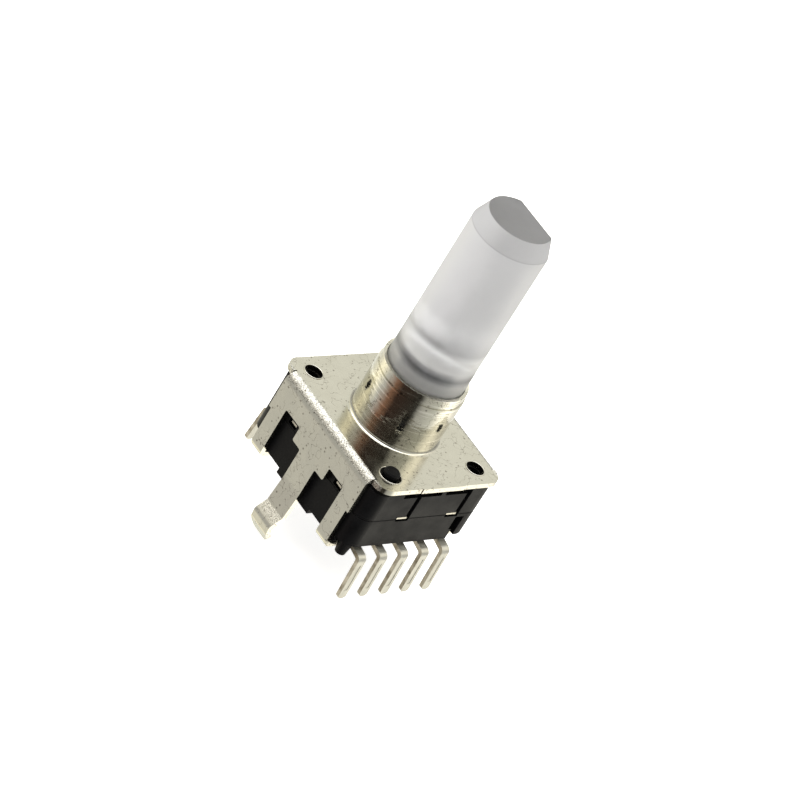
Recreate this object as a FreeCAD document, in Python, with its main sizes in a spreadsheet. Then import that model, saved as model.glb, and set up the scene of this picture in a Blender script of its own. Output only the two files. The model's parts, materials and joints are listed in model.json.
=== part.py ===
"""Illuminated rotary encoder with push switch, built piece by piece.

Frame of the part: millimetres, +Z up along the shaft.  The origin is where the shaft's axis
meets the top of the circuit board, so the terminals and snap legs reach below zero.
The row of five terminals faces -Y, the row of three faces +Y, the snap legs face -X and +X.
"""
import FreeCAD, Part
import os
import re
import Sketcher
from FreeCAD import Vector

doc = FreeCAD.newDocument("rotary_encoder")

# ---------------------------------------------------------------- driving dimensions

SIZES = {
    # stamped frame: plate, walls, legs
    "plate_top": 6.8,
    "gauge": 0.4,
    "frame_width": 12.4,
    "frame_length": 13.3,
    "plate_corner": 1.15,
    "bend_radius": 0.75,
    "wall_half": 5.3,
    "relief": 0.1,
    "leg_outer": 5.05,
    "leg_step_top": 3.55,
    "leg_inner": 3.8,
    "shoulder_inner": 2.0,
    "snap_half": 1.0,
    "window_top": 4.57,
    "shoulder_top": 3.42,
    "foot_reach": 1.35,
    "foot_bend": 0.55,
    "foot_gap": 0.06,
    "tab_half": 2.0,
    "tab_proud": 0.05,
    "tab_inset": 0.42,
    "window_corner": 0.15,
    # snap leg
    "snap_root": 1.0,
    "kink_drop": 1.32,
    "kink_out": 0.2,
    "knee_drop": 2.1,
    "knee_out": 0.95,
    "heel_drop": 2.85,
    "heel_out": 0.85,
    "snap_drop": 3.6,
    "snap_tip_out": 0.35,
    "snap_tip_round": 0.5,
    # the snap leg's inner face, measured from the corners of its outer face
    "kink_lift": 0.12,
    "knee_lift": 0.22,
    "heel_lift": 0.06,
    "heel_in": 0.41,
    "tip_lift": 0.2,
    "tip_in": 0.35,
    # drawn bushing
    "bush_radius": 3.4,
    "rim_radius": 3.3,
    "rim_draft": 0.02,
    "bush_bore": 3.05,
    "bush_fillet": 0.22,
    "bush_step": 10.95,
    "rim_top": 11.7,
    # corner holes and the posts in two of them
    "hole_x": 4.05,
    "hole_y": 5.13,
    "hole_radius": 0.68,
    "post_hole_radius": 0.8,
    "hole_lip": 0.05,
    "hole_lip_width": 0.1,
    "hole_lip_round": 0.045,
    "post_radius": 0.6,
    "post_height": 0.45,
    "post_chamfer": 0.12,
    "socket_depth": 1.2,
    # housings
    "body_half_x": 5.75,
    "body_half_y": 6.35,
    "body_corner": 1.15,
    "bend_gap": 0.05,
    "split": 3.6,
    "split_chamfer": 0.05,
    "base_bottom": 1.15,
    "rotor_room": 5.0,
    "floor_gauge": 0.35,
    "floor_hole": 3.3,
    "groove_width": 0.42,
    "groove_depth": 0.3,
    "left_groove": -1.45,
    "right_groove": 3.33,
    "relief_left": -3.0,
    "relief_rib_left": 0.6,
    "relief_rib_right": 1.0,
    "relief_right": 3.25,
    "relief_drop": 0.75,
    # base underside
    "core_half_x": 4.75,
    "core_bottom": 0.3,
    "rib_half_y": 2.05,
    "rib_bottom": 0.2,
    "shelf_bottom": 0.62,
    "peg_x": 4.97,
    "peg_y": 5.6,
    "peg_tip": 0.4,
    "peg_root": 0.58,
    "peg_sink": 0.05,
    "pocket_left": 3.55,
    "pocket_right": 4.35,
    "pocket_depth": 0.8,
    "pocket_top": 3.3,
    "toe_right": 3.84,
    "toe_top": 2.05,
    "toe_bottom": 1.48,
    # lead-frame tie bars
    "tie_gauge": 0.15,
    "tie_width": 0.93,
    "tie_length": 0.6,
    "tie_inset": 0.08,
    "side_tie_inset": 0.14,
    "tie_depth": 0.75,
    "left_tie": -1.83,
    "right_tie": 2.93,
    "front_tie_height": 3.525,
    "side_tie_height": 3.85,
    "side_tie_y": 3.0,
    "notch_margin": 0.14,
    "notch_depth": 0.25,
    # terminals
    "pin_width": 0.7,
    "pin_gauge": 0.32,
    "pin_bend": 0.15,
    "pin_chamfer": 0.16,
    "front_pitch": 2.0,
    "rear_pitch": 2.5,
    "lead_top": 0.8,
    "knee_top": 0.56,
    "front_knee": 6.96,
    "front_tip": 7.13,
    "front_tip_drop": 3.2,
    "rear_knee": 8.15,
    "rear_tip": 8.42,
    "rear_tip_drop": 2.75,
    "pin_groove_width": 0.26,
    "pin_groove_depth": 0.03,
    "pin_groove_top": 0.15,
    "pin_groove_end": 0.75,
    "rear_riser": 5.75,
    "rear_overlap": 0.01,
    # switch in the base
    "switch_room": 4.3,
    "switch_floor": 1.9,
    "contact_gauge": 0.1,
    "outer_contact_in": 3.25,
    "outer_contact_out": 3.95,
    "inner_contact_in": 1.45,
    "inner_contact_out": 2.1,
    "dome_gauge": 0.1,
    "dome_rim": 3.75,
    "dome_bore": 1.75,
    "dome_top": 2.62,
    "crown_out": 0.45,
    "crown_in": 0.2,
    "lip_drop": 0.18,
    "dome_slant": 0.03,
    "dome_foot": 0.12,
    # plunger between the shaft and the dome
    "plunger_bottom": 2.72,
    "plunger_top": 4.2,
    "plunger_radius": 3.05,
    "plunger_flange": 3.9,
    "plunger_flange_gauge": 0.3,
    "plunger_bore": 1.6,
    "key_reach": 4.7,
    "key_half": 0.6,
    "slide_gap": 0.1,
    # light in the middle
    "well_radius": 1.3,
    "well_floor": 1.1,
    "lens_radius": 1.2,
    "lens_shoulder": 3.0,
    "lens_round": 1.18,
    "lead_square": 0.3,
    "lead_turn": 1.2,
    "led_lead": 0.6,
    "bond_rise": 0.25,
    "cup_height": 1.9,
    "cup_half_x": 0.42,
    "cup_half_y": 0.3,
    "cup_gauge": 0.1,
    "die_side": 0.26,
    "die_height": 0.14,
    "die_offset": 0.2,
    # light-pipe shaft
    "shaft_radius": 3.0,
    "shaft_tip": 25.55,
    "flat_distance": 1.5,
    "flat_start": 13.45,
    "tip_bevel_long": 1.35,
    "tip_bevel_deep": 0.58,
    "shaft_foot": 4.25,
    "spigot_radius": 2.55,
    "flange_radius": 3.55,
    "flange_bottom": 5.75,
    "flange_top": 6.2,
    "light_well": 2.0,
    "light_well_top": 12.85,
    "light_well_cone": 0.3,
    "light_well_roof": 1.7,
    "spline_half": 0.5,
    "spline_reach": 3.02,
    "spline_root": 0.2,
    # rotor
    "washer_in": 3.1,
    "washer_out": 3.85,
    "washer_gauge": 0.16,
    "hub_radius": 4.85,
    "hub_bottom": 4.78,
    "hub_web_top": 5.2,
    "hub_rim_in": 3.75,
    "hub_rim_top": 5.7,
    "hub_bore": 2.65,
    "spline_gap": 0.08,
    "detent_width": 0.5,
    "detent_depth": 0.13,
    "detents": 24,
    "disc_in": 3.2,
    "disc_out": 4.6,
    "disc_gauge": 0.12,
    "slot_in": 3.7,
    "slot_out": 4.4,
    "slot_width": 0.5,
    # detent spring
    "spring_in": 3.95,
    "spring_out": 4.75,
    "spring_gauge": 0.15,
    "spring_reach": 1.5,
    "spring_nose": 0.25,
    "spring_low": 5.76,
    "nose_root": 0.2,
    "nose_width": 0.6,
    "ear_half": 0.6,
    "ear_reach": 5.5,
    # wipers on the code disc
    "wiper_width": 0.5,
    "wiper_gauge": 0.1,
    "wiper_rest": 0.06,
    "wiper_seat": 0.55,
    "wiper_reach": 1.75,
    "side_wiper_back": 4.1,
    "middle_wiper_back": 4.9,
}

sheet = doc.addObject("Spreadsheet::Sheet", "Size")
for row, (alias, amount) in enumerate(SIZES.items(), start=1):
    sheet.set(f"A{row}", alias)
    sheet.set(f"B{row}", str(amount))
    sheet.setAlias(f"B{row}", alias)
doc.recompute()

ALIAS = re.compile(r"\b(" + "|".join(SIZES) + r")\b")


def formula(text):
    """A formula of aliases as the document's expression language wants it."""
    return ALIAS.sub(r"Size.\1", str(text))


def value(text):
    """What a formula of aliases comes to, in millimetres."""
    return float(sheet.evalExpression(formula(text)))


def bind(thing, place, text):
    """Tie one property to a formula of aliases."""
    thing.setExpression(place, formula(text))


# ---------------------------------------------------------------- sketches and features

def new_body(name):
    """An empty body with its own origin."""
    body = doc.addObject("PartDesign::Body", name)
    body.Label = name
    return body


def new_sketch(body, role, offset="0"):
    """A sketch on one of the body's own origin planes, moved along that plane's normal."""
    sketch = body.newObject("Sketcher::SketchObject", body.Name + "_sketch")
    plane = next(part for part in body.Origin.OriginFeatures if part.Role == role)
    sketch.AttachmentSupport = [(plane, "")]
    sketch.MapMode = "FlatFace"
    bind(sketch, "AttachmentOffset.Base.z", offset)
    return sketch


def constrain(sketch, kind, geometry, text, point=None):
    """One dimension of a sketch, tied to a formula."""
    where = (geometry,) if point is None else (geometry, point)
    index = sketch.addConstraint(Sketcher.Constraint(kind, *where, value(text)))
    bind(sketch, f"Constraints[{index}]", text)


def draw_outline(sketch, corners):
    """A closed outline of straight lines, with each corner's place tied to formulas."""
    first = sketch.GeometryCount
    count = len(corners)
    places = [Vector(value(across), value(up), 0) for across, up in corners]
    for k in range(count):
        sketch.addGeometry(Part.LineSegment(places[k], places[(k + 1) % count]))
    for k in range(count):
        following = first + (k + 1) % count
        sketch.addConstraint(Sketcher.Constraint("Coincident", first + k, 2, following, 1))
    for k, (across, up) in enumerate(corners):
        constrain(sketch, "DistanceX", first + k, across, 1)
        constrain(sketch, "DistanceY", first + k, up, 1)


def draw_rectangle(sketch, left, right, low, high):
    """A rectangle between two pairs of formulas."""
    draw_outline(sketch, [(left, low), (right, low), (right, high), (left, high)])


def draw_circle(sketch, radius, across="0", up="0"):
    """A circle with its centre and radius tied to formulas."""
    centre = Vector(value(across), value(up), 0)
    index = sketch.addGeometry(Part.Circle(centre, Vector(0, 0, 1), value(radius)))
    constrain(sketch, "DistanceX", index, across, 3)
    constrain(sketch, "DistanceY", index, up, 3)
    constrain(sketch, "Radius", index, radius)


def settle(feature):
    """Recompute, and stop if the newest feature failed."""
    doc.recompute()
    if "Invalid" in feature.State or feature.Shape.isNull():
        raise RuntimeError(f"{feature.Name} failed: {feature.getStatusString()}")


def extrude(sketch, length, cut=False, symmetric=False, backwards=False):
    """Pad or pocket a sketch, and make sure that it really changed the body's volume."""
    body = sketch.getParentGeoFeatureGroup()
    doc.recompute()
    before = body.Shape.Volume if body.Tip else 0.0
    kind = "Pocket" if cut else "Pad"
    feature = body.newObject("PartDesign::" + kind, f"{body.Name}_{kind.lower()}")
    feature.Profile = sketch
    feature.SideType = "Symmetric" if symmetric else "One side"
    feature.Reversed = backwards
    bind(feature, "Length", length)
    settle(feature)
    change = feature.Shape.Volume - before
    if (change >= 0) if cut else (change <= 0):
        raise RuntimeError(f"{feature.Name} changed nothing")
    return feature


def pad(sketch, length, **options):
    """Add material along the sketch's normal."""
    return extrude(sketch, length, **options)


def pocket(sketch, length, **options):
    """Remove material; a pocket runs against the sketch's normal unless it is backwards."""
    return extrude(sketch, length, cut=True, **options)


def turn(sketch):
    """Turn a half section about the Z axis."""
    body = sketch.getParentGeoFeatureGroup()
    feature = body.newObject("PartDesign::Revolution", body.Name + "_turned")
    feature.Profile = sketch
    feature.ReferenceAxis = (sketch, ["V_Axis"])
    feature.Angle = 360
    settle(feature)
    return feature


def dress(body, kind, chosen, **sizes):
    """Fillet or chamfer the edges of the body's last feature that the test picks."""
    base = body.Tip
    names = [f"Edge{k}" for k, edge in enumerate(base.Shape.Edges, start=1) if chosen(edge)]
    if not names:
        raise RuntimeError(f"{body.Name}: no edge to {kind.lower()}")
    feature = body.newObject("PartDesign::" + kind, f"{body.Name}_{kind.lower()}")
    feature.Base = (base, names)
    for place, text in sizes.items():
        bind(feature, place, text)
    settle(feature)
    return feature


def repeat_around(feature, times):
    """Repeat the last feature evenly about the Z axis."""
    body = feature.getParentGeoFeatureGroup()
    pattern = body.newObject("PartDesign::PolarPattern", body.Name + "_pattern")
    axis = next(part for part in body.Origin.OriginFeatures if part.Role == "Z_Axis")
    pattern.Originals = [feature]
    pattern.Axis = (axis, [""])
    pattern.Angle = 360
    bind(pattern, "Occurrences", times)
    body.Tip = pattern
    settle(pattern)
    return pattern


SAME_PLACE = 0.01
NO_LENGTH = 0.001


def middle(edge, axis):
    """Where the middle of an edge's box lies on one axis."""
    return getattr(edge.BoundBox.Center, axis)


def is_at(edge, **wanted):
    """True where the middle of the edge's box has the wanted coordinates (x, y or z)."""
    return all(abs(middle(edge, axis) - value(text)) < SAME_PLACE for axis, text in wanted.items())


def is_mirrored_at(edge, axis, text):
    """True where the edge is as far from the middle plane as the formula says, on either side."""
    return abs(abs(middle(edge, axis)) - value(text)) < SAME_PLACE


def lies_beyond(edge, axis, text):
    """True where the edge is further from the middle plane than the formula says, on either side."""
    return abs(middle(edge, axis)) > value(text)


def lies_between(edge, axis, low, high):
    """True where the middle of the edge lies between two formulas on one axis."""
    return value(low) < middle(edge, axis) < value(high)


def spans_of(edge):
    """How far an edge's box reaches along each axis."""
    box = edge.BoundBox
    return {"x": box.XLength, "y": box.YLength, "z": box.ZLength}


def runs_along(edge, axis):
    """True for a straight edge along one axis."""
    spans = spans_of(edge)
    length = spans.pop(axis)
    return length > SAME_PLACE and max(spans.values()) < NO_LENGTH


def is_ring(edge, radius):
    """True for a level circle about a vertical axis."""
    spans = spans_of(edge)
    return spans["z"] < NO_LENGTH and abs(spans["x"] / 2 - value(radius)) < SAME_PLACE


# ---------------------------------------------------------------- primitives and booleans

def box(name, x_span, y_span, z_span):
    """A Part box between three pairs of formulas."""
    block = doc.addObject("Part::Box", name)
    spans = {"Length": ("x", x_span), "Width": ("y", y_span), "Height": ("z", z_span)}
    for side, (axis, (low, high)) in spans.items():
        bind(block, side, f"({high}) - ({low})")
        bind(block, "Placement.Base." + axis, low)
    return block


def cylinder(name, radius, z_span, x="0", y="0"):
    """A Part cylinder that stands along Z."""
    rod = doc.addObject("Part::Cylinder", name)
    bind(rod, "Radius", radius)
    bind(rod, "Height", f"({z_span[1]}) - ({z_span[0]})")
    for axis, text in (("x", x), ("y", y), ("z", z_span[0])):
        bind(rod, "Placement.Base." + axis, text)
    return rod


def fused(name, pieces):
    """One Part fusion of several objects."""
    whole = doc.addObject("Part::MultiFuse", name)
    whole.Shapes = pieces
    whole.Label = name
    return whole


def cut_from(name, base, tools):
    """The base less all the tools."""
    tool = tools[0] if len(tools) == 1 else fused(name + "_tools", tools)
    rest = doc.addObject("Part::Cut", name)
    rest.Base = base
    rest.Tool = tool
    rest.Label = name
    return rest


# ---------------------------------------------------------------- stamped frame

FRAME_HALF = "frame_width / 2"
UNDER_PLATE = "plate_top - gauge"


def bushing_frame():
    """Sheet-metal cover: plate, two walls with crimped legs, snap legs and the drawn bushing."""
    body = new_body("bushing_frame")
    add_channel(body)
    add_end_tabs(body)
    cut_wall_windows(body)
    add_snap_legs(body)
    add_bushing(body)
    cut_plate_holes(body)
    return body


def add_channel(body):
    """Plate and walls as one bent channel, with its feet folded in under the base."""
    sketch = new_sketch(body, "XZ_Plane")
    inner = f"{FRAME_HALF} - gauge"
    toe = f"{FRAME_HALF} - foot_reach"
    half = [(FRAME_HALF, "plate_top"), (FRAME_HALF, "0"), (toe, "0"), (toe, "gauge"),
            (inner, "gauge"), (inner, UNDER_PLATE)]
    mirrored = [(f"-({across})", up) for across, up in reversed(half)]
    draw_outline(sketch, half + mirrored)
    pad(sketch, "2 * wall_half", symmetric=True)

    def long_edge(height, across):
        return lambda edge: (runs_along(edge, "y") and is_at(edge, z=height)
                             and is_mirrored_at(edge, "x", across))

    dress(body, "Fillet", long_edge("plate_top", FRAME_HALF), Radius="bend_radius")
    dress(body, "Fillet", long_edge(UNDER_PLATE, inner), Radius="bend_radius - gauge")
    dress(body, "Fillet", long_edge("0", FRAME_HALF), Radius="foot_bend")
    dress(body, "Fillet", long_edge("gauge", inner), Radius="foot_bend - gauge")


def add_end_tabs(body):
    """The plate runs on past both ends of the bends, with rounded corners."""
    for side in ("1", "-1"):
        sketch = new_sketch(body, "XY_Plane", UNDER_PLATE)
        root = f"{side} * wall_half"
        relieved = f"{side} * (wall_half + relief)"
        end = f"{side} * frame_length / 2"
        neck = f"{FRAME_HALF} - bend_radius"
        tab = f"{FRAME_HALF} - tab_inset"
        draw_outline(sketch, [
            (f"-({neck})", root), (f"-({neck})", relieved), (f"-({tab})", relieved),
            (f"-({tab})", end), (tab, end), (tab, relieved), (neck, relieved), (neck, root)])
        pad(sketch, "gauge")
    dress(body, "Fillet",
          lambda edge: runs_along(edge, "z") and lies_beyond(edge, "y", "wall_half + 2 * relief"),
          Radius="plate_corner")
    tab = new_sketch(body, "XY_Plane", UNDER_PLATE)
    edge_of_plate = "-frame_length / 2"
    draw_rectangle(tab, "-tab_half", "tab_half", f"{edge_of_plate} - tab_proud", f"{edge_of_plate} + gauge")
    pad(tab, "gauge")


def cut_wall_windows(body):
    """Openings between the legs, the narrower outer legs, and room for the snap legs."""
    for side in ("1", "-1"):
        sketch = new_sketch(body, "YZ_Plane")
        draw_outline(sketch, [
            (f"{side} * leg_inner", "-gauge"), (f"{side} * leg_inner", "window_top"),
            (f"{side} * shoulder_inner", "window_top"), (f"{side} * shoulder_inner", "shoulder_top"),
            (f"{side} * snap_half", "shoulder_top"), (f"{side} * snap_half", "-gauge")])
        pocket(sketch, "2 * frame_width", symmetric=True)
        trim = new_sketch(body, "YZ_Plane")
        draw_rectangle(trim, f"{side} * leg_outer", f"{side} * 2 * wall_half", "-gauge", "leg_step_top")
        pocket(trim, "2 * frame_width", symmetric=True)
    below = new_sketch(body, "YZ_Plane")
    draw_rectangle(below, "-snap_half", "snap_half", "-gauge", "snap_root")
    pocket(below, "2 * frame_width", symmetric=True)

    def window_corner(edge):
        inner = is_at(edge, z="window_top") and (is_mirrored_at(edge, "y", "leg_inner")
                                                 or is_mirrored_at(edge, "y", "shoulder_inner"))
        outer = is_at(edge, z="shoulder_top") and (is_mirrored_at(edge, "y", "shoulder_inner")
                                                   or is_mirrored_at(edge, "y", "snap_half"))
        return runs_along(edge, "x") and (inner or outer)

    dress(body, "Fillet", window_corner, Radius="window_corner")


def add_snap_legs(body):
    """The middle leg of each wall splays, knees outward and returns to a rounded tip."""
    for side in ("1", "-1"):
        sketch = new_sketch(body, "XZ_Plane")
        outer = [("0", "snap_root"), ("kink_out", "-kink_drop"), ("knee_out", "-knee_drop"),
                 ("heel_out", "-heel_drop"), ("snap_tip_out", "-snap_drop")]
        inner = [("snap_tip_out - tip_in", "-snap_drop + tip_lift"),
                 ("heel_out - heel_in", "-heel_drop + heel_lift"),
                 ("knee_out - gauge", "-knee_drop - knee_lift"),
                 ("kink_out - gauge", "-kink_drop - kink_lift"), ("-gauge", "snap_root")]
        outline = [(f"{side} * ({FRAME_HALF} + {across})", up) for across, up in outer + inner]
        draw_outline(sketch, outline)
        pad(sketch, "2 * snap_half", symmetric=True)

    def tip_side(edge):
        return (is_mirrored_at(edge, "y", "snap_half") and spans_of(edge)["y"] < NO_LENGTH
                and lies_between(edge, "z", "-snap_drop", "-snap_drop + tip_lift"))

    def outer_knee(edge):
        return (runs_along(edge, "y") and lies_beyond(edge, "x", f"{FRAME_HALF} + heel_out - gauge / 4")
                and lies_between(edge, "z", "-heel_drop - gauge / 4", "-knee_drop + gauge / 4"))

    dress(body, "Fillet", tip_side, Radius="snap_tip_round")
    dress(body, "Fillet", outer_knee, Radius="gauge")


def add_bushing(body):
    """The bushing is drawn up out of the plate, with a stepped rim."""
    sketch = new_sketch(body, "XZ_Plane")
    draw_outline(sketch, [
        ("bush_bore", UNDER_PLATE), ("bush_bore", "rim_top"), ("rim_radius", "rim_top"),
        ("rim_radius + rim_draft", "bush_step"), ("bush_radius", "bush_step"),
        ("bush_radius", "plate_top"), ("bush_radius + gauge", "plate_top"),
        ("bush_radius + gauge", UNDER_PLATE)])
    turn(sketch)
    dress(body, "Fillet", lambda edge: is_at(edge, z="plate_top") and is_ring(edge, "bush_radius"),
          Radius="bush_fillet")
    hole = new_sketch(body, "XY_Plane", "rim_top + gauge")
    draw_circle(hole, "bush_bore")
    pocket(hole, "rim_top")


def cut_plate_holes(body):
    """Four holes in the corners of the plate, each with the raised lip that its punch leaves."""
    lips = new_sketch(body, "XY_Plane", "plate_top - gauge / 2")
    holes = new_sketch(body, "XY_Plane", "plate_top + gauge")
    for side in ("1", "-1"):
        for radius, along in (("post_hole_radius", f"{side} * hole_y"), ("hole_radius", f"-{side} * hole_y")):
            draw_circle(lips, f"{radius} + hole_lip_width", f"{side} * hole_x", along)
            draw_circle(holes, radius, f"{side} * hole_x", along)
    pad(lips, "gauge / 2 + hole_lip")
    pocket(holes, "3 * gauge")
    dress(body, "Fillet", lambda edge: is_at(edge, z="plate_top + hole_lip"), Radius="hole_lip_round")


# ---------------------------------------------------------------- housings

def rounded_block(body, low, high):
    """The housings' common outline: a block with four rounded corners, chamfered at the split."""
    sketch = new_sketch(body, "XY_Plane", low)
    draw_rectangle(sketch, "-body_half_x", "body_half_x", "-body_half_y", "body_half_y")
    pad(sketch, f"({high}) - ({low})")
    dress(body, "Fillet", lambda edge: runs_along(edge, "z"), Radius="body_corner")
    dress(body, "Chamfer", lambda edge: is_at(edge, z="split"), Size="split_chamfer")


def tie_boxes(name, margin, front_start, side_start, end):
    """One box for each tie bar end, as deep as the formulas say: two in front, two on each side."""
    boxes = []
    for across in ("left_tie", "right_tie"):
        boxes.append(box(
            name, (f"{across} - tie_width / 2 - {margin}", f"{across} + tie_width / 2 + {margin}"),
            (f"-body_half_y + {front_start}", f"-body_half_y + {end}"),
            (f"front_tie_height - {margin}", f"front_tie_height + tie_gauge + {margin}")))
    for side in ("1", "-1"):
        ends = (f"{side} * (body_half_x - {side_start})", f"{side} * (body_half_x - {end})")
        x_span = ends if side == "-1" else ends[::-1]
        for along in ("side_tie_y", "-side_tie_y"):
            boxes.append(box(
                name, x_span,
                (f"{along} - tie_length / 2 - {margin}", f"{along} + tie_length / 2 + {margin}"),
                (f"side_tie_height - {margin}", f"side_tie_height + tie_gauge + {margin}")))
    return boxes


def tie_bars(name):
    """The tie bar ends at their own size."""
    return tie_boxes(name, "0", "tie_inset", "side_tie_inset", "tie_depth")


def lead_frame_ties():
    """Sheared ends of the tie bars that held the contacts during moulding."""
    return fused("lead_frame_ties", tie_bars("tie_end"))


def tie_cuts():
    """The ties' own seats, and the shallow notch around each end."""
    return tie_bars("tie_seat") + tie_boxes("tie_notch", "notch_margin", "0", "0", "notch_depth")


def upper_housing():
    """Upper moulding: room for the rotor, floor for the wipers, and two locating posts."""
    body = new_body("upper_moulding")
    rounded_block(body, "split", UNDER_PLATE)
    dress(body, "Chamfer", lambda edge: runs_along(edge, "y") and is_at(edge, z=UNDER_PLATE),
          Size="bend_radius - gauge + bend_gap")
    room = new_sketch(body, "XY_Plane", UNDER_PLATE)
    draw_circle(room, "rotor_room")
    pocket(room, f"{UNDER_PLATE} - split - floor_gauge")
    hole = new_sketch(body, "XY_Plane", UNDER_PLATE)
    draw_circle(hole, "floor_hole")
    pocket(hole, UNDER_PLATE)
    for side in ("1", "-1"):
        post = new_sketch(body, "XY_Plane", UNDER_PLATE)
        draw_circle(post, "post_radius", f"{side} * hole_x", f"{side} * hole_y")
        pad(post, "gauge + post_height")
    dress(body, "Chamfer", lambda edge: is_at(edge, z="plate_top + post_height"), Size="post_chamfer")
    for side in ("1", "-1"):
        socket = new_sketch(body, "XY_Plane", UNDER_PLATE)
        draw_circle(socket, "post_radius", f"{side} * hole_x", f"-{side} * hole_y")
        pocket(socket, "socket_depth")
    front = "-body_half_y"
    cuts = []
    for left, right in (("relief_left", "relief_rib_left"), ("relief_rib_right", "relief_right")):
        cuts.append(box("front_relief", (left, right), (front, f"{front} + groove_depth"),
                        (f"{UNDER_PLATE} - relief_drop", UNDER_PLATE)))
    for across in ("left_groove", "right_groove"):
        cuts.append(box("front_groove", (f"{across} - groove_width / 2", f"{across} + groove_width / 2"),
                        (front, f"{front} + groove_depth"), ("split", UNDER_PLATE)))
    ear = "ear_reach + slide_gap"
    cuts.append(box("ear_seat", ("-ear_half - slide_gap", "ear_half + slide_gap"), (f"-({ear})", ear),
                    (f"{UNDER_PLATE} - spring_gauge", UNDER_PLATE)))
    for name, across in REAR_PLACES:
        cuts.append(box("terminal_slot", (f"{across} - pin_width / 2", f"{across} + pin_width / 2"),
                        (wiper_seat_front(name), "rear_riser"), ("split", "split + pin_gauge")))
    return cut_from("upper_housing", body, cuts + tie_cuts())


def lower_housing():
    """Base moulding: switch room above, terminals through it, and stand-off pegs below."""
    body = new_body("base_moulding")
    rounded_block(body, "base_bottom", "split")
    core = new_sketch(body, "XY_Plane", "base_bottom")
    draw_rectangle(core, "-core_half_x", "core_half_x", "-wall_half", "wall_half")
    pad(core, "base_bottom - core_bottom", backwards=True)
    for side in ("1", "-1"):
        shelf = new_sketch(body, "XY_Plane", "base_bottom")
        draw_rectangle(shelf, f"{side} * core_half_x", f"{side} * body_half_x", "-leg_inner", "leg_inner")
        pad(shelf, "base_bottom - shelf_bottom", backwards=True)
        rib = new_sketch(body, "XY_Plane", "base_bottom")
        draw_rectangle(rib, f"{side} * core_half_x", f"{side} * body_half_x", "-rib_half_y", "rib_half_y")
        pad(rib, "base_bottom - rib_bottom", backwards=True)
        for end in ("1", "-1"):
            step = new_sketch(body, "XY_Plane", "base_bottom")
            draw_rectangle(step, f"{side} * core_half_x", f"{side} * body_half_x",
                           f"{end} * leg_inner", f"{end} * leg_outer")
            pad(step, "base_bottom - gauge - foot_gap", backwards=True)
    room = new_sketch(body, "XY_Plane", "split")
    draw_circle(room, "switch_room")
    pocket(room, "split - switch_floor")
    keyway = new_sketch(body, "XY_Plane", "split")
    key_end = "key_reach + slide_gap"
    draw_rectangle(keyway, f"-({key_end})", key_end, "-key_half - slide_gap", "key_half + slide_gap")
    pocket(keyway, "split - switch_floor")
    well = new_sketch(body, "XY_Plane", "split")
    draw_circle(well, "well_radius")
    pocket(well, "split - well_floor")
    pegs = [base_peg("-1"), base_peg("1")]
    solid = fused("base_with_pegs", [body] + pegs)
    cuts = [box("corner_pocket", ("pocket_left", "pocket_right"),
                ("-body_half_y", "-body_half_y + pocket_depth"), ("toe_top", "pocket_top")),
            box("corner_gap", ("toe_right", "pocket_right"),
                ("-body_half_y", "-body_half_y + pocket_depth"), ("base_bottom", "toe_top")),
            box("toe_trim", ("pocket_right", "body_half_x"), ("-body_half_y", "-wall_half"),
                ("base_bottom", "toe_bottom"))]
    cuts += [upright_cut(across) for name, across in REAR_PLACES]
    cuts += lead_cuts() + tie_cuts()
    return cut_from("lower_housing", solid, cuts)


def base_peg(side):
    """A tapered peg under one corner of the base."""
    peg = doc.addObject("Part::Cone", "base_peg")
    bind(peg, "Radius1", "peg_tip")
    bind(peg, "Radius2", "peg_root")
    bind(peg, "Height", "base_bottom + peg_sink")
    bind(peg, "Placement.Base.x", f"{side} * peg_x")
    bind(peg, "Placement.Base.y", f"{side} * peg_y")
    return peg


# ---------------------------------------------------------------- terminals

FRONT_NAMES = ("switch_terminal_inner", "led_terminal_red", "led_terminal_common",
               "led_terminal_green", "switch_terminal_outer")
FRONT_PLACES = [(name, f"{k - 2} * front_pitch") for k, name in enumerate(FRONT_NAMES)]
REAR_NAMES = ("a", "common", "b")
REAR_PLACES = [(name, f"{k - 1} * rear_pitch") for k, name in enumerate(REAR_NAMES)]
LEAD_SPAN = ("lead_top - pin_gauge", "lead_top")


def wiper_seat_front(name):
    """How far forward the seat of one wiper reaches."""
    back = "middle_wiper_back" if name == "common" else "side_wiper_back"
    return f"{back} - wiper_seat"


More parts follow.
